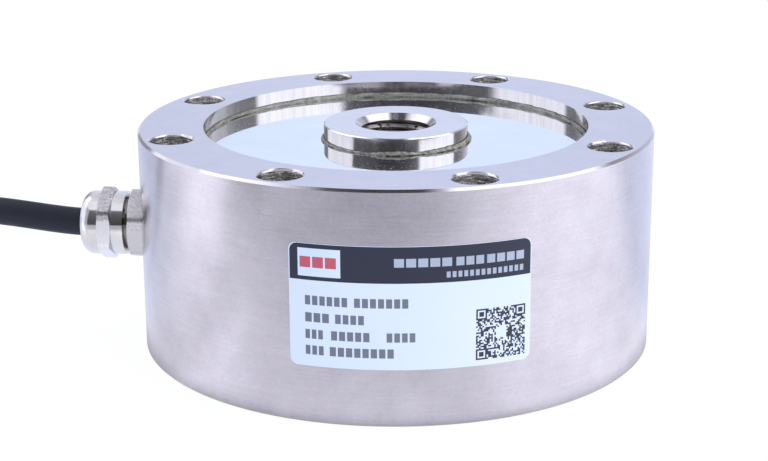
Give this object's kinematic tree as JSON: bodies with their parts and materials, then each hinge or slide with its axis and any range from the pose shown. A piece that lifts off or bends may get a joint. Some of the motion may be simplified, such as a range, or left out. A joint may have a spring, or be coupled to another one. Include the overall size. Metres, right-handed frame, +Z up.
{
  "type": "spoke type load cell",
  "caption": "Low round steel force sensor with a bolted rim, a threaded hub carried on radial spokes, sealed discs and a cable gland with its cable.",
  "frame": {"origin": "centre of the base face, on the load axis", "axes": "+Z up along the load axis, -X along the cable gland, -Y towards the label"},
  "size_m": [0.2702, 0.1182, 0.0462],
  "materials": {
    "satin_steel": "turned stainless steel with a satin surface and fine tool marks",
    "polished_steel": "mirror polished stainless disc",
    "weld_steel": "dull rippled weld bead",
    "nickel_plate": "bright nickel plate on brass",
    "seal_rubber": "matt black rubber",
    "claw_plastic": "natural polyamide",
    "cable_jacket": "smooth black jacket with a slight sheen",
    "tie_plastic": "black polyamide",
    "label_film": "white film with a dark printed header",
    "gauge_foil": "amber polyimide film with metal foil",
    "strip_film": "amber polyimide film with solder pads",
    "lead_enamel": "enamelled wire",
    "tinned_wire": "tinned copper strands",
    "core_red": "red insulation",
    "core_green": "green insulation",
    "core_white": "white insulation",
    "core_black": "black insulation"
  },
  "bodies": {
    "root": {"spoke_body": "satin_steel", "top_diaphragm": "polished_steel", "bottom_diaphragm": "polished_steel", "top_rim_weld": "weld_steel", "top_hub_weld": "weld_steel", "bottom_rim_weld": "weld_steel", "bottom_hub_weld": "weld_steel", "strain_gauge_1": "gauge_foil", "strain_gauge_2": "gauge_foil", "strain_gauge_3": "gauge_foil", "strain_gauge_4": "gauge_foil", "strain_gauge_5": "gauge_foil", "strain_gauge_6": "gauge_foil", "strain_gauge_7": "gauge_foil", "strain_gauge_8": "gauge_foil", "span_resistor": "gauge_foil", "zero_resistor": "gauge_foil", "terminal_strip": "strip_film", "gauge_leads": "lead_enamel", "bridge_harness": "lead_enamel", "gland_washer": "seal_rubber", "gland_body": "nickel_plate", "gland_nut": "nickel_plate", "gland_claw": "claw_plastic", "gland_seal": "seal_rubber", "cable_entry": "cable_jacket", "cable": "cable_jacket", "cable_coil": "cable_jacket", "cable_end": "cable_jacket", "coil_tie": "tie_plastic", "inner_core_red": "core_red", "inner_core_green": "core_green", "inner_core_white": "core_white", "inner_core_black": "core_black", "outer_core_red": "core_red", "outer_core_green": "core_green", "outer_core_white": "core_white", "outer_core_black": "core_black", "core_tips": "tinned_wire", "rating_label": "label_film"}
  },
  "joints": []
}
